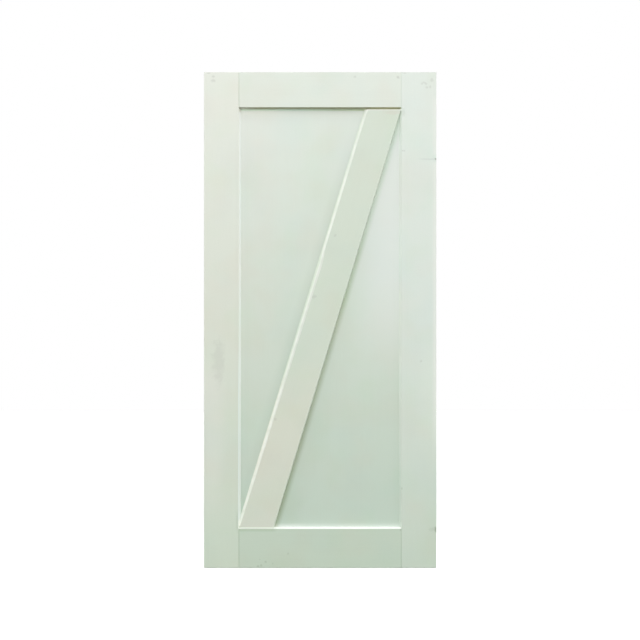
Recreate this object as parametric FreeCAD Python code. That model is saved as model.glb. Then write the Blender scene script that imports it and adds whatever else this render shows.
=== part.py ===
import FreeCAD, Part
import math
import os

# Framed and braced door leaf: two stiles and two rails with splayed inner edges, a flat panel held
# in their grooves, and a diagonal brace with a bevelled upper edge on each face of the panel.
# Millimetres, +Z up, front towards -Y. The origin is on the hinge edge, the outer edge of the
# left stile, at mid thickness and at the foot of the leaf.

# Leaf over all
leaf_width = 965.0
leaf_height = 2057.0
leaf_thickness = 35.0

# Frame members, measured from the outer edge to the foot of the splayed inner edge
stile_width = 150.0
top_rail_width = 150.0
bottom_rail_width = 168.0

# Inner edge, the same on stiles and rails: a steep splay, a small square step and a groove
splay_width = 5.0
step_depth = 1.0
groove_depth = 12.0

# Flat panel, free to move in its grooves
panel_thickness = 10.0
panel_cheek_clearance = 0.1
panel_edge_clearance = 3.0

# Haunched tenons of the rails
tenon_length = 75.0
haunch_width = 45.0
tenon_clearance = 0.1
tenon_end_clearance = 2.0

# Diagonal braces, measured square to their length
brace_face_width = 132.0
brace_bevel_width = 12.0
brace_step_depth = 1.0
brace_end_clearance = 4.0
brace_side_clearance = 0.2

# Eased arrises
edge_radius = 2.5
end_radius = 1.0
shoulder_ease = 1.2

# Worked out from the sizes above
front = -leaf_thickness / 2
recess_depth = (leaf_thickness - panel_thickness) / 2
splay_foot = front + recess_depth - step_depth
groove_width = panel_thickness + 2 * panel_cheek_clearance
groove_lip = -groove_width / 2
tenon_face = groove_lip + tenon_clearance
stub_length = groove_depth - tenon_end_clearance
stile_face_width = stile_width - splay_width
top_rail_face_width = top_rail_width - splay_width
opening_width = leaf_width - 2 * stile_width
opening_height = leaf_height - bottom_rail_width - top_rail_width


def vector(x, y, z):
    return FreeCAD.Vector(x, y, z)


def prism(outline, sweep):
    """Solid swept from a closed flat outline along a vector."""
    wire = Part.makePolygon(outline + outline[:1])
    return Part.Face(wire).extrude(sweep)


def block(low, high):
    """Box between two opposite corners."""
    size = high - low
    return Part.makeBox(size.x, size.y, size.z, low)


def front_and_back(front_half):
    """Closed outline from its front half, mirrored through the middle of the leaf's thickness."""
    return front_half + [(across, -depth) for across, depth in reversed(front_half)]


def eased_block(low, high, radius, direction):
    """Box with rounded arrises along one direction."""
    box = block(low, high)
    arrises = [edge for edge in box.Edges if abs(edge.tangentAt(0).dot(direction)) > 0.5]
    return box.makeFillet(radius, arrises)


def leaf_blank():
    """Outer form of the whole leaf: rounded long edges, and lightly eased top and bottom ends."""
    low = vector(0, front, 0)
    high = vector(leaf_width, -front, leaf_height)
    long_edges = eased_block(low, high, edge_radius, vector(0, 0, 1))
    ends = eased_block(low, high, end_radius, vector(1, 0, 0))
    return long_edges.common(ends)


def member_section(width):
    """Section of a stile or rail, from its square outer edge to its splayed and grooved inner edge."""
    return front_and_back([
        (0, front),
        (width - splay_width, front),
        (width, splay_foot),
        (width, groove_lip),
        (width - groove_depth, groove_lip),
    ])


def rail_plan():
    """Left end of a rail seen from above: its face is coped over the stile's splay down to a stub
    tenon that fills the stile's groove, and its shoulder is eased to a fine V along the joint."""
    ease_depth = (splay_foot - front) * (shoulder_ease / 2) / splay_width
    return front_and_back([
        (leaf_width / 2, front),
        (stile_face_width + shoulder_ease, front),
        (stile_face_width + shoulder_ease / 2, front + ease_depth),
        (stile_width, splay_foot),
        (stile_width, tenon_face),
        (stile_width - stub_length, tenon_face),
    ])


def tenon_reach(outer_z, inward, rail_width, clearance):
    """Lowest and highest Z of a rail's tenon, or of its mortise with a clearance."""
    ends = (outer_z + inward * haunch_width, outer_z + inward * (rail_width - groove_depth))
    return min(ends) - clearance, max(ends) + clearance


def make_rail(outer_z, inward, width):
    """Rail whose outer edge is at outer_z, with its splayed edge turned inward."""
    tip = stile_width - tenon_length
    start = vector(tip, 0, outer_z)
    section = [start + vector(0, depth, inward * across) for across, depth in member_section(width)]
    bar = prism(section, vector(leaf_width - 2 * tip, 0, 0))
    plan = [vector(across, depth, 0) for across, depth in rail_plan()]
    left_end = prism(plan, vector(0, 0, leaf_height))
    low_z, high_z = tenon_reach(outer_z, inward, width, 0)
    tenon = block(vector(tip, tenon_face, low_z), vector(leaf_width / 2, -tenon_face, high_z))
    left_half = left_end.fuse(tenon)
    right_half = left_half.mirror(vector(leaf_width / 2, 0, 0), vector(1, 0, 0))
    return bar.common(left_half.fuse(right_half).removeSplitter())


def make_left_stile():
    """Full-height stile with a groove for the panel and a mortise for each rail."""
    section = [vector(across, depth, 0) for across, depth in member_section(stile_width)]
    stile = prism(section, vector(0, 0, leaf_height))
    bottom = stile_width - tenon_length - tenon_end_clearance
    rails = ((leaf_height, -1, top_rail_width), (0, 1, bottom_rail_width))
    for outer_z, inward, width in rails:
        low_z, high_z = tenon_reach(outer_z, inward, width, tenon_clearance)
        mortise = block(vector(bottom, groove_lip, low_z), vector(stile_width, -groove_lip, high_z))
        stile = stile.cut(mortise)
    return stile


def make_panel():
    """Flat sheet that stops short of the bottoms of the grooves."""
    tongue = groove_depth - panel_edge_clearance
    low = vector(stile_width - tongue, -panel_thickness / 2, bottom_rail_width - tongue)
    high = low + vector(opening_width + 2 * tongue, panel_thickness, opening_height + 2 * tongue)
    return block(low, high)


def brace_space():
    """Room for a brace on the front of the panel: as wide as the splays of the stiles leave it, and
    short of the rails by a clearance."""
    panel_face = -panel_thickness / 2
    slant = splay_width * recess_depth / (recess_depth - step_depth)
    left = stile_face_width + brace_side_clearance
    right = leaf_width - left
    low_z = bottom_rail_width + brace_end_clearance
    high_z = leaf_height - top_rail_width - brace_end_clearance
    plan = [
        vector(left, front, low_z),
        vector(right, front, low_z),
        vector(right - slant, panel_face, low_z),
        vector(left + slant, panel_face, low_z),
    ]
    return prism(plan, vector(0, 0, high_z - low_z))


def make_front_brace():
    """Board from the lower left corner of the opening to the upper right corner of the frame's faces.
    Its left edge, which looks up, is bevelled, its right edge is square, and its ends are cut to the
    room between the frame members."""
    low_corner = vector(stile_width, 0, bottom_rail_width)
    high_corner = vector(leaf_width - stile_face_width, 0, leaf_height - top_rail_face_width)
    reach = high_corner - low_corner
    lean = math.atan2(reach.x, reach.z) - math.asin(brace_face_width / reach.Length)
    along = vector(math.sin(lean), 0, math.cos(lean))
    across = vector(math.cos(lean), 0, -math.sin(lean))
    panel_face = -panel_thickness / 2
    section = [
        (0, front),
        (brace_face_width, front),
        (brace_face_width, panel_face),
        (-brace_bevel_width, panel_face),
        (-brace_bevel_width, panel_face - brace_step_depth),
    ]
    foot = low_corner - along * brace_face_width
    outline = [foot + across * offset + vector(0, depth, 0) for offset, depth in section]
    board = prism(outline, along * (reach.Length + 2 * brace_face_width))
    return board.common(brace_space())


mid_plane = vector(leaf_width / 2, 0, 0)
blank = leaf_blank()
left_stile = make_left_stile()
front_brace = make_front_brace()

pieces = {
    "left_stile": left_stile.common(blank),
    "right_stile": left_stile.mirror(mid_plane, vector(1, 0, 0)).common(blank),
    "top_rail": make_rail(leaf_height, -1, top_rail_width).common(blank),
    "bottom_rail": make_rail(0, 1, bottom_rail_width).common(blank),
    "panel": make_panel(),
    "front_brace": front_brace,
    "back_brace": front_brace.mirror(vector(0, 0, 0), vector(0, 1, 0)),
}

os.makedirs("parts", exist_ok=True)
for name, shape in pieces.items():
    solid = shape.removeSplitter().Solids[0]
    solid.exportStep(os.path.join("parts", name + ".step"))
    print(name, round(solid.Volume / 1000), "cm3")
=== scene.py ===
import math

import bpy
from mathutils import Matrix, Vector


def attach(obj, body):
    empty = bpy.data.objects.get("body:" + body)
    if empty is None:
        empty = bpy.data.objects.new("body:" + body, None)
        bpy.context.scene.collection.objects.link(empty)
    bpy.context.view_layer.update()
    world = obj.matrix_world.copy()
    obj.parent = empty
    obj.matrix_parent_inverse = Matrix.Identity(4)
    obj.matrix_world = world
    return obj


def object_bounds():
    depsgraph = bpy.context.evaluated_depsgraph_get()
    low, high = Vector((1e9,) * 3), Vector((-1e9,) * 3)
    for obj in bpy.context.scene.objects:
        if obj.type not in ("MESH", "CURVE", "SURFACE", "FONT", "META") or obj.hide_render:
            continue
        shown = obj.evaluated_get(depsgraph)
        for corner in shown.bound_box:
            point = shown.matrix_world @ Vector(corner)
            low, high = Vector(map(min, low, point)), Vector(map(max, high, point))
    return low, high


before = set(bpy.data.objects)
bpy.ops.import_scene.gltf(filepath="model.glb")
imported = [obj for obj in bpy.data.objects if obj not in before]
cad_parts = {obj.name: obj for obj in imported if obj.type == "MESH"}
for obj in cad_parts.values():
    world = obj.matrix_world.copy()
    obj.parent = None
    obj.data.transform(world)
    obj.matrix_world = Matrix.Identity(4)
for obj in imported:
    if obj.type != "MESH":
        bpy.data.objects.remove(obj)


# Stiles: two full-height timber boards, planed, grooved and splayed along their inner edges, and
# mortised for the rails. They are laid off lengthwise with satin pale green paint, warmer on the
# hinge side and cooler on the latch side, and they carry the smudges and chips of handling.

class Shade:
    """A socket in a node tree. Arithmetic on it adds Math nodes."""

    def __init__(self, tree, socket=None):
        self.tree = tree
        self.socket = socket

    def node(self, kind, settings=(), sockets=(), output=0):
        """Add a node: its settings first, then the values or links of its sockets."""
        made = self.tree.nodes.new("ShaderNode" + kind)
        for name, setting in dict(settings).items():
            setattr(made, name, setting)
        for name, given in dict(sockets).items():
            if isinstance(given, Shade):
                self.tree.links.new(given.socket, made.inputs[name])
            else:
                made.inputs[name].default_value = given
        return Shade(self.tree, made.outputs[output])

    def math(self, operation, *values):
        return self.node("Math", {"operation": operation}, enumerate(values))

    def root(self):
        return self.math("SQRT", self)

    def __abs__(self):
        return self.math("ABSOLUTE", self)

    def __add__(self, other):
        return self.math("ADD", self, other)

    def __sub__(self, other):
        return self.math("SUBTRACT", self, other)

    def __rsub__(self, other):
        return self.math("SUBTRACT", other, self)

    def __mul__(self, other):
        return self.math("MULTIPLY", self, other)

    def __truediv__(self, other):
        return self.math("DIVIDE", self, other)

    def __rtruediv__(self, other):
        return self.math("DIVIDE", other, self)

    __radd__ = __add__
    __rmul__ = __mul__


def step_between(value, start, end):
    """0 below start and 1 above end, with a smooth rise. With start above end it falls instead."""
    return value.node("MapRange", {"interpolation_type": "SMOOTHSTEP"},
                      {"Value": value, "From Min": start, "From Max": end})


def slope_between(value, start, end):
    """0 below start and 1 above end, with a straight rise."""
    return value.node("MapRange", (), {"Value": value, "From Min": start, "From Max": end})


def axis(place, name):
    return place.node("SeparateXYZ", (), {"Vector": place}, output=name)


def mix_colour(factor, under, over, blend="MIX"):
    """Two colours mixed or multiplied. At least one of the three values is a socket."""
    shade = next(given for given in (factor, under, over) if isinstance(given, Shade))
    return shade.node("Mix", {"data_type": "RGBA", "blend_type": blend},
                      {0: factor, 6: under, 7: over}, output=2)


def noise(place, scale, detail=2.0, roughness=0.5, stretch=(1, 1, 1), shift=(0, 0, 0)):
    """Noise about 0.5, finer or coarser by axis, in cycles a metre."""
    moved = place.node("Mapping", (), {"Vector": place, "Location": shift, "Scale": stretch})
    return place.node("TexNoise", (),
                      {"Vector": moved, "Scale": scale, "Detail": detail, "Roughness": roughness})


def tint(red, green, blue):
    """A screen colour, 0 to 255, as the linear colour that a shader takes."""
    def linear(level):
        share = level / 255
        return share / 12.92 if share <= 0.04045 else ((share + 0.055) / 1.055) ** 2.4
    return linear(red), linear(green), linear(blue), 1.0


def on_front(place):
    """1 on the face that looks at -Y, 0 on the back."""
    return step_between(axis(place, "Y"), 0.0, -0.004)


def blot(place, x, z, half_width, half_height, ragged=0.5):
    """1 in the middle of a soft, ragged spot on the front, 0 outside it."""
    across = (axis(place, "X") - x) / half_width
    up = (axis(place, "Z") - z) / half_height
    far = (across * across + up * up).root()
    edge = noise(place, 1.2 / min(half_width, half_height), 3, 0.6, shift=(z, 0, x))
    return step_between(far + (edge - 0.5) * ragged * 2, 1.0, 0.3) * on_front(place)


warm_cast = (1.0, 0.955, 0.94, 1)
cool_cast = (0.95, 0.98, 1.0, 1)
green_cast = (0.955, 0.995, 0.95, 1)
top_dust_and_shade = (0.56, 0.58, 0.54, 1)


def painted(name, lean, colours, dress):
    """Satin paint on a board whose grain leans by that angle from the vertical. The three colours
    stand at the foot, the middle and the head of the leaf, and dress adds the piece's own marks."""
    material = bpy.data.materials.new(name)
    material.use_nodes = True
    tree = material.node_tree
    tree.nodes.clear()
    place = Shade(tree).node("TexCoord", output="Object")
    foot, middle, head = colours
    height = axis(place, "Z")
    # Darker at the foot and lighter at the head: partly the paint's own tone, partly painted shade of the
    # light from above.
    colour = mix_colour(slope_between(height, leaf_low.z, leaf_middle.z), foot, middle)
    colour = mix_colour(slope_between(height, leaf_middle.z, leaf_high.z), colour, head)
    warm = step_between(noise(place, 5, 2, 0.5, shift=(0.3, 0, 0.1)), 0.42, 0.68)
    colour = mix_colour(warm * 0.5, colour, warm_cast, "MULTIPLY")
    cool = step_between(noise(place, 4, 2, 0.5, shift=(1.7, 0, 2.1)), 0.45, 0.7)
    colour = mix_colour(cool * 0.5, colour, cool_cast, "MULTIPLY")
    green = step_between(noise(place, 6, 2, 0.5, shift=(4.1, 0, 3.3)), 0.45, 0.7)
    colour = mix_colour(green * 0.5, colour, green_cast, "MULTIPLY")
    turned = place.node("Mapping", (), {"Vector": place, "Rotation": (0, -lean, 0)})
    brush = noise(turned, 1, 3, 0.6, stretch=(240, 240, 5))
    stipple = noise(place, 380, 2, 0.5)
    grey = 1 + (brush - 0.5) * 0.03 + (stipple - 0.5) * 0.05
    colour = mix_colour(1.0, colour, grey, "MULTIPLY")
    # Darker on the upward top edge: dust there, and painted shade that tones down its highlight.
    dusty_and_shaded = step_between(height, leaf_high.z - 0.0012, leaf_high.z - 0.0002)
    colour = mix_colour(dusty_and_shaded, colour, top_dust_and_shade, "MULTIPLY")
    colour = dress(place, colour)
    bump = place.node("Bump", (), {"Strength": 0.3, "Distance": 0.0004,
                                   "Height": brush * 0.6 + stipple * 0.4})
    rough = 0.46 + (brush - 0.5) * 0.12 + (warm - 0.5) * 0.05
    surface = place.node("BsdfPrincipled", (), {"Base Color": colour, "Roughness": rough,
                                                "Normal": bump, "IOR": 1.45})
    out = tree.nodes.new("ShaderNodeOutputMaterial")
    tree.links.new(surface.socket, out.inputs["Surface"])
    return material


def reach_of(node):
    """Lowest and highest corner of a CAD piece."""
    places = [vertex.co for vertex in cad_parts[node].data.vertices]
    low = Vector([min(place[way] for place in places) for way in range(3)])
    high = Vector([max(place[way] for place in places) for way in range(3)])
    return low, high


def face_of(node):
    """Corners of a CAD piece that lie in the front face of the leaf."""
    places = [vertex.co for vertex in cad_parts[node].data.vertices]
    return [place for place in places if place.y < leaf_low.y + 0.0001]


leaf_low, leaf_high = [Vector(corner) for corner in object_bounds()]
leaf_middle = (leaf_low + leaf_high) / 2
left_foot = reach_of("left_stile")[1].x
right_foot = reach_of("right_stile")[0].x
left_arris = max(place.x for place in face_of("left_stile"))
splay_width = left_foot - left_arris
low_arris = max(place.z for place in face_of("bottom_rail"))
high_arris = min(place.z for place in face_of("top_rail"))
smudge_grey = tint(168, 172, 160)
crack_grey = tint(168, 178, 174)
chip_olive = tint(112, 130, 96)
# Green of small specks and smears, and of painted shade in two corners of the stiles.
speck_and_shade_green = tint(158, 176, 150)
filler_white = tint(245, 248, 240)
filler_cool = tint(236, 246, 239)
filler_bright = tint(249, 255, 243)
crease_shade = (0.89, 0.91, 0.88, 1)
upper_corner_shade = (0.45, 0.45, 0.38, 1)


def in_opening(place):
    """1 between the faces of the rails, 0 beside the rails."""
    up = axis(place, "Z")
    above_foot = step_between(up, low_arris - 0.0025, low_arris)
    below_head = step_between(up, high_arris + 0.001, high_arris)
    return above_foot * below_head


def crease(place, colour):
    """Fine darker line where the shoulders meet the left stile, and the right stile at the foot."""
    across = axis(place, "X")
    near = step_between(abs(across - left_arris), 0.0024, 0.0006)
    far = step_between(abs(across - right_foot - splay_width), 0.0024, 0.0006)
    far = far * step_between(axis(place, "Z"), leaf_middle.z, leaf_middle.z - 0.1)
    beside_rails = (1 - in_opening(place)) * on_front(place)
    return mix_colour((near + far) * beside_rails, colour, crease_shade, "MULTIPLY")


def dress_left_stile(place, colour):
    """Grey smudges, a paler, warmer cast low down on the outer half, a greener painted shade in the inner
    corner at the foot, and filler wiped up the splay from the joint, with painted shade in its upper
    corner."""
    across = axis(place, "X")
    up = axis(place, "Z")
    worn = step_between(across, 0.110, 0.040) * on_front(place)
    worn = worn * step_between(up, 0.95, 0.75) * step_between(up, 0.16, 0.34)
    colour = mix_colour(worn, colour, (1.055, 1.02, 1.05, 1), "MULTIPLY")
    for x, z, half_width, half_height in ((0.019, 2.053, 0.011, 0.005), (0.039, 2.039, 0.010, 0.007),
                                          (0.038, 2.0215, 0.014, 0.009)):
        dab = blot(place, x, z, half_width, half_height)
        colour = mix_colour(dab * 0.22, colour, smudge_grey)
    side_smudge = blot(place, 0.060, 0.862, 0.034, 0.115, 0.8)
    colour = mix_colour(side_smudge * 0.16, colour, smudge_grey)
    colour = crease(place, colour)
    smear = step_between(up, 0.95, 0.70) * 0.0022 + (noise(place, 12, 2) - 0.5) * 0.001 + 0.0006
    wiped = step_between(across + smear, left_arris - 0.0005, left_arris + 0.0005)
    wiped = wiped * in_opening(place) * on_front(place)
    under = step_between(up, high_arris - 0.026, high_arris - 0.010)
    filler = mix_colour(step_between(up, 1.2, 0.7), filler_white, filler_cool)
    filler = mix_colour(step_between(up, low_arris + 0.046, low_arris + 0.026), filler, filler_bright)
    # Painted shade: greener and darker in the inner corner above the bottom rail.
    shade = blot(place, 0.139, 0.190, 0.007, 0.060, 0.3)
    colour = mix_colour(shade * 0.2, colour, speck_and_shade_green)
    colour = mix_colour(wiped * (1 - under) * 0.95, colour, filler)
    # Painted shade on the filler in the upper corner of the splay, under the top rail.
    corner = step_between(up, high_arris - 0.007, high_arris - 0.004)
    return mix_colour(wiped * corner, colour, upper_corner_shade, "MULTIPLY")


def dress_right_stile(place, colour):
    """Smudges at the head, a painted shade beside the corner of the brace's head, small knocks, a hair
    crack, a painted highlight along the outer edge with two chips, and filler on the splay, with painted
    light near its head."""
    across = axis(place, "X")
    up = axis(place, "Z")
    shallow = step_between(axis(place, "Y"), leaf_low.y + 0.007, leaf_low.y + 0.004)
    for x, z, half_width, half_height in ((0.906, 2.010, 0.008, 0.007), (0.915, 2.014, 0.010, 0.006),
                                          (0.922, 2.009, 0.008, 0.007), (0.925, 1.994, 0.009, 0.008),
                                          (0.939, 1.996, 0.007, 0.009), (0.946, 2.024, 0.009, 0.012),
                                          (0.834, 2.054, 0.010, 0.006)):
        dab = blot(place, x, z, half_width, half_height)
        colour = mix_colour(dab * 0.2, colour, smudge_grey)
    # Painted shade: greener and darker on the stile beside the corner of the brace's head.
    corner = blot(place, 0.827, 1.890, 0.013, 0.024, 0.3)
    colour = mix_colour(corner * 0.15, colour, speck_and_shade_green)
    for x, z, half, strength in ((0.824, 1.732, 0.004, 0.25), (0.831, 1.731, 0.005, 0.25),
                                 (0.901, 0.858, 0.007, 0.25)):
        colour = mix_colour(blot(place, x, z, half, half, 0.9) * strength, colour, smudge_grey)
    colour = mix_colour(blot(place, 0.821, 0.3295, 0.006, 0.006, 0.9) * 0.4, colour, speck_and_shade_green)
    colour = crease(place, colour)
    waver = (noise(place, 40, 2) - 0.5) * 0.003
    crack = step_between(abs(up - 1.696 + waver), 0.0052, 0.0012)
    crack = crack * step_between(across, 0.880, 0.920) * shallow
    colour = mix_colour(crack * 0.17, colour, crack_grey)
    worn = step_between(across, 0.86, 0.94) * on_front(place)
    worn = worn * step_between(up, 0.95, 0.80) * step_between(up, 0.45, 0.60)
    colour = mix_colour(worn, colour, (1.03, 1.03, 1.02, 1), "MULTIPLY")
    # Painted highlight along the outer edge of the stile, left off at the upper chip.
    edge_highlight = step_between(across, 0.940, leaf_high.x) * step_between(up, 0.35, 0.75) * on_front(place)
    edge_highlight = edge_highlight * step_between(up, 1.97, 1.93) * (1 - blot(place, 0.957, 1.700, 0.024, 0.024))
    colour = mix_colour(edge_highlight * 0.6, colour, filler_white)
    rubbed_in = blot(place, 0.955, 0.160, 0.028, 0.014, 0.8)
    colour = mix_colour(rubbed_in * 0.2, colour, speck_and_shade_green)
    for z, half_height in ((1.697, 0.007), (0.159, 0.019)):
        chip = blot(place, 0.963, z, 0.007, half_height, 0.4) * shallow
        colour = mix_colour(chip * 0.42, colour, chip_olive)
    wiped = step_between(across, right_foot + splay_width, right_foot + splay_width - 0.001)
    wiped = wiped * on_front(place)
    colour = mix_colour(wiped * 0.75, colour, filler_white)
    greener = wiped * step_between(up, 1.84, 1.87)
    colour = mix_colour(greener, colour, (0.93, 1.05, 0.93, 1), "MULTIPLY")
    # Painted light: the splay lighter near the head, against the shade beside the corner of the brace's
    # head.
    splay_light = wiped * step_between(up, 1.876, 1.888)
    return mix_colour(splay_light, colour, (1.12, 1.06, 1.10, 1), "MULTIPLY")


left_paint = painted("left_stile_paint", 0,
                     (tint(211, 225, 206), tint(227, 233, 219), tint(239, 243, 232)), dress_left_stile)
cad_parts["left_stile"].data.materials[0] = left_paint
right_paint = painted("right_stile_paint", 0,
                      (tint(208, 222, 205), tint(227, 237, 227), tint(235, 243, 234)), dress_right_stile)
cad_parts["right_stile"].data.materials[0] = right_paint


# Rails: two shorter boards between the stiles, with coped shoulders and haunched tenons that show
# only as fine V lines. They are brushed crosswise with the same paint, greener at the foot.

low_foot = reach_of("bottom_rail")[1].z
high_foot = reach_of("top_rail")[0].z
brace_low, brace_high = reach_of("front_brace")
brace_heads = [place for place in face_of("front_brace") if place.z > brace_high.z - 0.0001]
brace_left_head = min(brace_heads, key=lambda place: place.x)
splay_shade_olive = (1.12, 1.06, 0.84, 1)
gap_shade = (0.79, 0.77, 0.74, 1)


def dress_rail(place, colour):
    """Olive painted shade on the splay under the top rail, paler to the hinge side and darker over the
    brace's head, a greener stroke under its foot, filler and painted highlight on the bottom rail's splay
    with painted shade deep in it, and small knocks."""
    across = axis(place, "X")
    up = axis(place, "Z")
    # Painted shade colour: the shaded splay under the top rail tinted olive.
    under = step_between(up, high_arris, high_arris - 0.001)
    under = under * step_between(up, leaf_middle.z, leaf_middle.z + 0.1)
    colour = mix_colour(under, colour, splay_shade_olive, "MULTIPLY")
    # Painted light: the olive shade on the splay paler towards the hinge side.
    less_shade_left = under * step_between(across, 0.240, 0.150) * on_front(place)
    colour = mix_colour(less_shade_left, colour, (1.06, 1.06, 1.30, 1), "MULTIPLY")
    # Painted shade: the splay darker over the head of the brace.
    gap = step_between(up, high_arris - 0.0012, high_arris - 0.0035) * on_front(place)
    gap = gap * step_between(across, brace_left_head.x - 0.010, brace_left_head.x)
    colour = mix_colour(under * gap, colour, gap_shade, "MULTIPLY")
    colour = crease(place, colour)
    stroke = step_between(up, 0.146, 0.154) * step_between(across, 0.310, 0.285) * on_front(place)
    stroke = stroke * step_between(up, leaf_middle.z, leaf_middle.z - 0.1)
    colour = mix_colour(stroke, colour, (0.90, 0.93, 0.89, 1), "MULTIPLY")
    edge = step_between(up, 0.152, 0.157) * stroke
    colour = mix_colour(edge, colour, (0.955, 0.955, 0.92, 1), "MULTIPLY")
    # White filler on the bottom rail's splay and a little below its arris, also a painted highlight of the
    # light from above.
    wiped = step_between(up, low_arris - 0.0024, low_arris - 0.0014)
    wiped = wiped * step_between(up, leaf_middle.z, leaf_middle.z - 0.1)
    colour = mix_colour(wiped * 0.65, colour, tint(250, 250, 250))
    # Painted shade deep in the splay of the bottom rail.
    deep_shade = step_between(up, low_foot - 0.003, low_foot - 0.001) * wiped
    colour = mix_colour(deep_shade, colour, (0.78, 0.78, 0.77, 1), "MULTIPLY")
    for x, z, half, strength in ((0.627, 2.038, 0.008, 0.2), (0.806, 2.036, 0.008, 0.3)):
        colour = mix_colour(blot(place, x, z, half, half, 0.9) * strength, colour, smudge_grey)
    for x, z, half, strength in ((0.225, 0.006, 0.007, 0.4), (0.238, 0.010, 0.007, 0.4),
                                 (0.232, 0.035, 0.005, 0.25), (0.256, 0.025, 0.007, 0.4),
                                 (0.286, 0.018, 0.005, 0.25), (0.349, 0.059, 0.006, 0.3),
                                 (0.816, 0.158, 0.006, 0.4)):
        colour = mix_colour(blot(place, x, z, half, half, 0.7) * strength, colour, speck_and_shade_green)
    return colour


rail_paint = painted("rail_paint", math.pi / 2,
                     (tint(202, 218, 199), tint(220, 230, 216), tint(235, 242, 231)), dress_rail)
for rail in ("top_rail", "bottom_rail"):
    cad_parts[rail].data.materials[0] = rail_paint


# Panel: one flat sheet that floats in the grooves of the frame, rolled with the same paint. Painted
# shade lies along the lower edge of the brace, darker and more olive towards the foot.

brace_feet = [place for place in face_of("front_brace") if place.z < brace_low.z + 0.0001]
brace_left_foot = min(brace_feet, key=lambda place: place.x)
brace_right_foot = max(brace_feet, key=lambda place: place.x)
brace_line = brace_left_head - brace_left_foot
brace_lean = math.atan2(brace_line.x, brace_line.z)
shade_green = (0.88, 0.95, 0.87, 1)
painted_shade_olive = (0.62, 0.63, 0.47, 1)


def right_of_brace(place, point):
    """Distance to the right of the line through that point along the brace."""
    across = (axis(place, "X") - point.x) * math.cos(brace_lean)
    return across - (axis(place, "Z") - point.z) * math.sin(brace_lean)


def dress_panel(place, colour):
    """Paler at the head of the latch side, painted shade beside the brace, greener and olive along its
    lower edge, a painted glow just above the bottom rail, and painted shade under the top rail."""
    up = axis(place, "Z")
    pale = step_between(axis(place, "X"), 0.5, 0.8) * step_between(up, 0.7, 1.2)
    colour = mix_colour(pale * 0.6, colour, tint(238, 244, 240))
    beside = right_of_brace(place, brace_left_foot)
    left_of_brace = step_between(beside, 0.02, 0.01) * on_front(place)
    # Painted shade on the panel beside the bevel of the brace.
    shade_left_of_brace = step_between(beside, -0.060, -0.012) * left_of_brace
    shade_left_of_brace = shade_left_of_brace * (0.45 + step_between(up, 0.3, 0.9) * 0.35 - step_between(up, 1.55, 1.85) * 0.4)
    colour = mix_colour(shade_left_of_brace, colour, (0.90, 0.905, 0.90, 1), "MULTIPLY")
    # Painted shade: a thin darker line at the foot of the brace's bevel.
    line = step_between(beside, -0.024, -0.014) * left_of_brace * step_between(up, 0.35, 0.60)
    colour = mix_colour(line, colour, (0.95, 0.96, 0.95, 1), "MULTIPLY")
    upper = step_between(beside, -0.200, -0.030) * left_of_brace * step_between(up, 1.2, 1.7)
    colour = mix_colour(upper, colour, (0.97, 0.97, 0.965, 1), "MULTIPLY")
    # Painted glow: the panel paler just above the bottom rail, as light thrown up from the rail's splay.
    painted_glow = slope_between(up, low_foot + 0.016, low_foot) * on_front(place)
    glow_strength = 0.6 - step_between(axis(place, "X"), 0.33, 0.45) * 0.25
    colour = mix_colour(painted_glow * glow_strength, colour, tint(246, 249, 248))
    # Painted light: a paler band on the panel below the shade of the top rail.
    less_shade_below_rail = step_between(up, high_foot - 0.045, high_foot - 0.022)
    less_shade_below_rail = less_shade_below_rail * step_between(up, high_foot - 0.006, high_foot - 0.014) * on_front(place)
    colour = mix_colour(less_shade_below_rail * 0.3, colour, tint(240, 246, 232))
    # Painted shade: the panel's top edge darker under the top rail, more olive towards the latch side.
    edge = step_between(up, high_foot - 0.010, high_foot - 0.005) * on_front(place)
    colour = mix_colour(edge, colour, (0.86, 0.98, 0.87, 1), "MULTIPLY")
    top_shade_olive = edge * slope_between(axis(place, "X"), 0.40, 0.66)
    colour = mix_colour(top_shade_olive, colour, (0.88, 0.85, 0.70, 1), "MULTIPLY")
    # Painted light: less shade on the panel under the top rail towards the hinge side.
    less_shade_left = slope_between(up, high_foot - 0.028, high_foot - 0.004) * on_front(place)
    less_shade_left = less_shade_left * slope_between(axis(place, "X"), 0.41, 0.17)
    colour = mix_colour(less_shade_left, colour, (1.18, 1.18, 1.16, 1), "MULTIPLY")
    warm = step_between(axis(place, "X"), 0.40, 0.20) * step_between(up, 0.6, 0.9)
    colour = mix_colour(warm, colour, (1.025, 1.0, 1.01, 1), "MULTIPLY")
    away = right_of_brace(place, brace_right_foot)
    clear_of_brace = step_between(away, -0.006, -0.001) * on_front(place)
    # Painted shade along the lower edge of the brace: green higher up, olive towards the foot, with a
    # faint wider halo low down.
    near = step_between(away, 0.031, 0.003) * clear_of_brace
    low_down = step_between(up, 1.75, 0.5)
    colour = mix_colour(near * (1 - low_down), colour, shade_green, "MULTIPLY")
    half_way = near * step_between(up, 1.45, 1.30) * step_between(up, 0.98, 1.12)
    colour = mix_colour(half_way, colour, (0.93, 0.955, 0.905, 1), "MULTIPLY")
    halo = step_between(away, 0.16, 0.0) * clear_of_brace
    colour = mix_colour(halo * low_down * 0.6, colour, (0.95, 0.955, 0.95, 1), "MULTIPLY")
    return mix_colour(near * low_down * 0.65, colour, painted_shade_olive, "MULTIPLY")


panel_paint = painted("panel_paint", 0,
                      (tint(199, 217, 201), tint(217, 229, 214), tint(235, 243, 233)), dress_panel)
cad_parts["panel"].data.materials[0] = panel_paint


# Braces: a board on each face of the panel, from the foot of the hinge side to the head of the latch
# side, bevelled along its upper edge and glued and pinned to the panel. The paint goes a warm beige
# towards the foot, and the bevel is white with filler and painted highlight.

stain_pink = tint(222, 217, 204)
rim_pink = tint(243, 238, 231)
rim_green = tint(222, 238, 222)
foot_beige = (1.03, 0.985, 0.985, 1)


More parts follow.
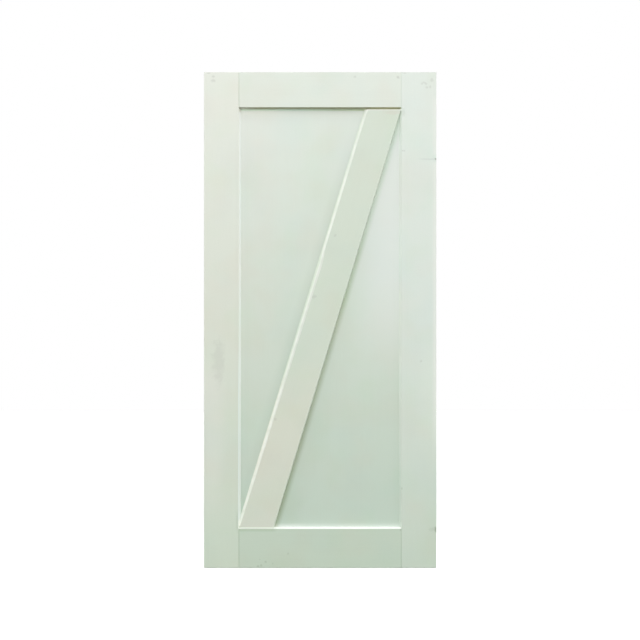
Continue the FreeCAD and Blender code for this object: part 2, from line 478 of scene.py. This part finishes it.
def dress_brace(place, colour):
    """Beige and duller towards the foot, filler and painted highlight on the bevel, paler rims along the
    lower edge and the head, a pinkish stain at the head, painted shade on its head end and grey spots
    along the upper edge."""
    across = right_of_brace(place, brace_left_foot)
    up = axis(place, "Z")
    beige = step_between(up, 0.95, 0.65)
    colour = mix_colour(beige, colour, foot_beige, "MULTIPLY")
    duller = step_between(up, 0.55, 0.25)
    colour = mix_colour(duller, colour, (0.96, 0.985, 0.99, 1), "MULTIPLY")
    rim = step_between(right_of_brace(place, brace_right_foot), -0.005, -0.001) * on_front(place)
    colour = mix_colour(rim * 0.4, colour, rim_green)
    top = step_between(up, brace_high.z - 0.035, brace_high.z - 0.005)
    shift = step_between(up, 1.34, 1.26) * slope_between(up, 0.20, 1.20) * 0.0068 + 0.0008
    shift = shift + top * 0.003 - step_between(up, 0.45, 0.25) * 0.0028
    # White filler on the bevel, which also paints in the highlight of the light falling on it.
    strayed = across + (noise(place, 9, 2) - 0.5) * 0.0030 - shift
    wiped = step_between(strayed, 0.0008, -0.0008)
    spread = step_between(up, 1.40, 1.15) * 0.004 + top * 0.005 + 0.0085
    wiped = wiped * step_between(strayed + spread, -0.003, 0.002)
    thin = 0.35 + step_between(noise(place, 14, 2), 0.35, 0.65) * 0.35
    colour = mix_colour(wiped * thin, colour, filler_white)
    stain = blot(place, 0.785, 1.890, 0.048, 0.013, 0.7)
    colour = mix_colour(stain * 0.4, colour, stain_pink)
    rim = step_between(up, brace_high.z - 0.006, brace_high.z - 0.002) * on_front(place)
    colour = mix_colour(rim * 0.5, colour, rim_pink)
    # Painted shade on the head end of the brace.
    end = step_between(up, brace_high.z - 0.0003, brace_high.z - 0.0001)
    colour = mix_colour(end, colour, gap_shade, "MULTIPLY")
    for x, z, half, strength in ((0.545, 1.380, 0.009, 0.2), (0.458, 1.124, 0.012, 0.2),
                                 (0.296, 0.617, 0.009, 0.2)):
        colour = mix_colour(blot(place, x, z, half, half, 0.9) * strength, colour, smudge_grey)
    return colour


brace_paint = painted("brace_paint", brace_lean,
                      (tint(222, 229, 213), tint(218, 229, 212), tint(224, 234, 219)), dress_brace)
for brace in ("front_brace", "back_brace"):
    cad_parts[brace].data.materials[0] = brace_paint


# Filler beads: painter's filler run along the joints of the panel with the stiles and with the lower edge
# of each brace, and pressed nearly flush into the gap under its foot and the corner at its head. White
# along the hinge stile and under the brace, painted over elsewhere.

bead_step = 0.012
bead_waves = 9.0


def bead_tree():
    """Node tree that sweeps a four-cornered section along a path, a little thicker and thinner."""
    tree = bpy.data.node_groups.new("filler_bead", "GeometryNodeTree")
    sockets = (("Path", "Geometry"), ("Facing", "Vector"), ("Buried", "Vector"), ("Panel edge", "Vector"),
               ("Hollow", "Vector"), ("Wall edge", "Vector"), ("Waver", "Float"), ("Waves", "Float"),
               ("Seed", "Float"), ("Paint", "Material"))
    for name, kind in sockets:
        tree.interface.new_socket(name, in_out="INPUT", socket_type="NodeSocket" + kind)
    tree.interface.new_socket("Bead", in_out="OUTPUT", socket_type="NodeSocketGeometry")
    given = tree.nodes.new("NodeGroupInput").outputs

    def node(kind, settings, sockets):
        made = tree.nodes.new(kind)
        for name, setting in settings.items():
            setattr(made, name, setting)
        for name, source in sockets.items():
            if isinstance(source, bpy.types.NodeSocket):
                tree.links.new(source, made.inputs[name])
            else:
                made.inputs[name].default_value = source
        return made.outputs[0]

    path = node("GeometryNodeMeshToCurve", {}, {"Mesh": given["Path"]})
    path = node("GeometryNodeResampleCurve", {"mode": "LENGTH"}, {"Curve": path, "Length": bead_step})
    path = node("GeometryNodeSetCurveNormal", {"mode": "FREE"}, {"Curve": path, "Normal": given["Facing"]})
    section = node("GeometryNodeCurvePrimitiveQuadrilateral", {"mode": "POINTS"},
                   {"Point 1": given["Buried"], "Point 2": given["Panel edge"],
                    "Point 3": given["Hollow"], "Point 4": given["Wall edge"]})
    position = node("GeometryNodeInputPosition", {}, {})
    waves = node("ShaderNodeTexNoise", {"noise_dimensions": "4D"},
                 {"Vector": position, "W": given["Seed"], "Scale": given["Waves"], "Detail": 2.0})
    middling = node("ShaderNodeMath", {"operation": "SUBTRACT"}, {0: waves, 1: 0.5})
    scale = node("ShaderNodeMath", {"operation": "MULTIPLY_ADD"}, {0: middling, 1: given["Waver"], 2: 1.0})
    bead = node("GeometryNodeCurveToMesh", {},
                {"Curve": path, "Profile Curve": section, "Scale": scale, "Fill Caps": True})
    bead = node("GeometryNodeRealizeInstances", {}, {"Geometry": bead})
    bead = node("GeometryNodeSetMaterial", {}, {"Geometry": bead, "Material": given["Paint"]})
    out = tree.nodes.new("NodeGroupOutput")
    tree.links.new(bead, out.inputs["Bead"])
    return tree


def run_bead(name, ends, facing, section, paint, waver, seed):
    """Bead along a straight path from one end to the other, as a plain mesh."""
    mesh = bpy.data.meshes.new(name + "_path")
    mesh.from_pydata([tuple(end) for end in ends], [(0, 1)], [])
    path = bpy.data.objects.new(name + "_path", mesh)
    bpy.context.scene.collection.objects.link(path)
    modifier = path.modifiers.new("bead", "NODES")
    modifier.node_group = filler_tree
    inputs = {"Facing": facing, "Waver": waver, "Waves": bead_waves, "Seed": seed, "Paint": paint}
    inputs.update(zip(("Buried", "Panel edge", "Hollow", "Wall edge"), section))
    for item in filler_tree.interface.items_tree:
        if item.in_out == "INPUT" and item.name in inputs:
            modifier[item.identifier] = inputs[item.name]
    ready = path.evaluated_get(bpy.context.evaluated_depsgraph_get())
    bead = bpy.data.objects.new(name, bpy.data.meshes.new_from_object(ready))
    bead.data.name = name
    bead.data.shade_flat()
    bpy.data.objects.remove(path)
    bpy.context.scene.collection.objects.link(bead)
    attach(bead, "root")


def joint_section(panel_leg, wall_leg):
    """Corners of a hollow bead in the angle between the panel and a splay: height above the panel,
    then distance from the foot of the splay."""
    lean = splay_width / recess
    return ((-0.0004, -0.0010, 0), (-0.0002, panel_leg, 0), (wall_leg * 0.30, panel_leg * 0.30, 0),
            (wall_leg, -wall_leg * lean - 0.0006, 0))


filler_tree = bead_tree()
panel_low, panel_high = reach_of("panel")
recess = panel_low.y - leaf_low.y
right_meeting = brace_right_foot.z + (right_foot - brace_right_foot.x) / math.tan(brace_lean)


def dress_filler(place, colour):
    """Painted shade under the top rail, darker painted shade in the upper corner, whiter in the low corner
    and thinner on the panel towards the foot."""
    up = axis(place, "Z")
    # Painted shade on the filler under the top rail.
    under = step_between(up, high_foot - 0.021, high_foot - 0.005) * on_front(place)
    colour = mix_colour(under, colour, tint(226, 228, 214))
    low_corner = step_between(up, low_foot + 0.040, low_foot + 0.020) * on_front(place)
    colour = mix_colour(low_corner, colour, filler_bright)
    thin = step_between(axis(place, "X"), left_foot + 0.0012, left_foot + 0.0026) * on_front(place)
    colour = mix_colour(thin * step_between(up, 0.65, 0.35) * 0.8, colour, tint(204, 219, 204))
    # Painted shade in the upper corner, under the top rail.
    corner = step_between(up, high_foot - 0.002, high_foot) * on_front(place)
    return mix_colour(corner, colour, (0.5, 0.5, 0.43, 1), "MULTIPLY")


def leave_plain(place, colour):
    """No marks beside those of the paint."""
    return colour


filler_paint = painted("filler_paint", 0,
                       (tint(233, 242, 234), tint(245, 252, 245), tint(252, 255, 250)), dress_filler)
joint_paint = painted("joint_paint", 0,
                      (tint(205, 220, 205), tint(233, 243, 233), tint(241, 248, 241)), leave_plain)
edge_paint = painted("edge_filler_paint", brace_lean,
                     (tint(236, 243, 229), tint(236, 244, 231), tint(238, 246, 234)), leave_plain)


def dress_foot(place, colour):
    """Beige brace paint drawn a little way down over the filler."""
    drawn = step_between(axis(place, "Z"), brace_low.z - 0.0028, brace_low.z - 0.0016)
    return mix_colour(drawn, colour, tint(217, 221, 205))


foot_paint = painted("foot_filler_paint", 0, (tint(240, 249, 233),) * 3, dress_foot)
end_gap = brace_low.z - low_foot
flush = recess - 0.0002
gap_section = ((-0.0004, -end_gap - 0.0006, 0), (-0.0004, 0.0006, 0), (flush, 0.0006, 0),
               (flush, -end_gap - splay_width, 0))
head_section = ((-0.0004, -0.0010, 0), (-0.0004, 0.0004, 0), (flush, 0.0004, 0),
                (flush, -splay_width - 0.0006, 0))
edge_waver = 0.1
edge_leg = 0.0033
edge_top = flush / (1 + edge_waver / 2)
edge_section = ((-0.0004, -0.0010, 0), (-0.0002, edge_leg, 0), (edge_top / 2, edge_leg / 2, 0),
                (edge_top, -0.0006, 0))
edge_foot_x = brace_right_foot.x - end_gap * math.tan(brace_lean)
for side, facing_y, panel_y in (("front", -1, panel_low.y), ("back", 1, panel_high.y)):
    facing = (0, facing_y, 0)
    left = [(left_foot, panel_y, low_foot), (left_foot, panel_y, high_foot)]
    right = [(right_foot, panel_y, right_meeting), (right_foot, panel_y, low_foot)]
    foot = [(brace_right_foot.x, panel_y, brace_low.z), (left_foot, panel_y, brace_low.z)]
    corner = [(right_foot, panel_y, brace_high.z), (right_foot, panel_y, right_meeting)]
    edge = [(edge_foot_x, panel_y, low_foot), (right_foot, panel_y, right_meeting)]
    runs = (("left", left, joint_section(0.0032, 0.0112), filler_paint, 0.15),
            ("right", right, joint_section(0.0040, 0.0105), joint_paint, 0.15),
            ("brace_foot", foot, gap_section, foot_paint, 0.0),
            ("brace_head", corner, head_section, brace_paint, 0.0),
            ("brace_edge", edge, edge_section, edge_paint, edge_waver))
    for seed, (place_name, ends, section, paint, waver) in enumerate(runs):
        if side == "back":
            ends = ends[::-1]
        run_bead("filler_" + place_name + "_" + side, ends, facing, section, paint, waver, seed)


# Floor: a plain pale sheet under the leaf, greyer behind it. It shows to the camera and takes shadows,
# and gives no light back to the leaf.

floor_reach = 6.0
floor_level = -0.0005
floor_pale = (0.9, 0.9, 0.9, 1)
floor_grey = (0.57, 0.57, 0.57, 1)
floor_mesh = bpy.data.meshes.new("floor")
floor_mesh.from_pydata(
    [(x * floor_reach, y * floor_reach, floor_level) for x, y in ((-1, -1), (1, -1), (1, 1), (-1, 1))],
    [], [(0, 1, 2, 3)])
floor = bpy.data.objects.new("floor", floor_mesh)
bpy.context.scene.collection.objects.link(floor)
floor_paint = bpy.data.materials.new("floor_white")
floor_paint.use_nodes = True
floor_place = Shade(floor_paint.node_tree).node("TexCoord", output="Object")
floor_behind = step_between(axis(floor_place, "Y"), 0.1, 1.0)
floor_colour = mix_colour(floor_behind, floor_pale, floor_grey)
floor_surface = floor_paint.node_tree.nodes["Principled BSDF"]
floor_paint.node_tree.links.new(floor_colour.socket, floor_surface.inputs["Base Color"])
floor_mesh.materials.append(floor_paint)
floor.visible_diffuse = False
floor.visible_glossy = False


# Light: an even dome of soft light from above the horizon, and a broad soft light overhead in front.
# The camera sees the dome as plain white.

light_white = (1, 1, 1, 1)
dome_strength = 1.60
ground_strength = 0.04
overhead_watts = 80
overhead_forward = 1.9
overhead_height = 7.0
overhead_target_height = 1.4
world = bpy.data.worlds.new("studio")
bpy.context.scene.world = world
world.use_nodes = True
world.node_tree.nodes.clear()
sky = Shade(world.node_tree)
direction = sky.node("TexCoord", output="Generated")
dome = step_between(axis(direction, "Z"), -0.05, 0.05) * dome_strength + ground_strength
light = sky.node("Background", (), {"Color": light_white, "Strength": dome})
white = sky.node("Background", (), {"Color": light_white, "Strength": 1.0})
seen = sky.node("LightPath", output="Is Camera Ray")
both = sky.node("MixShader", (), {0: seen, 1: light, 2: white})
world_out = world.node_tree.nodes.new("ShaderNodeOutputWorld")
world.node_tree.links.new(both.socket, world_out.inputs["Surface"])

overhead = bpy.data.lights.new("overhead", "AREA")
overhead.shape = "RECTANGLE"
overhead.size = 4.0
overhead.size_y = 2.0
overhead.energy = overhead_watts
overhead_object = bpy.data.objects.new("overhead", overhead)
overhead_object.location = (leaf_middle.x, -overhead_forward, overhead_height)
aim = Vector((leaf_middle.x, 0, overhead_target_height)) - overhead_object.location
overhead_object.rotation_euler = aim.to_track_quat("-Z", "Y").to_euler()
bpy.context.scene.collection.objects.link(overhead_object)


# Camera: square on to the leaf and level with its middle, from across a room.

camera_distance = 3.5
metres_a_pixel = 0.004150
pixels_high = 640
pixels_aside = 0.15
aside = pixels_aside * metres_a_pixel
picture_height = pixels_high * metres_a_pixel
camera = bpy.data.cameras.new("camera")
camera.lens = camera.sensor_width * camera_distance / picture_height
camera_object = bpy.data.objects.new("camera", camera)
camera_object.location = (leaf_middle.x - aside, leaf_low.y - camera_distance, leaf_middle.z)
camera_object.rotation_euler = (math.pi / 2, 0, 0)
bpy.context.scene.collection.objects.link(camera_object)
bpy.context.scene.camera = camera_object
bpy.context.scene.view_settings.view_transform = "Standard"
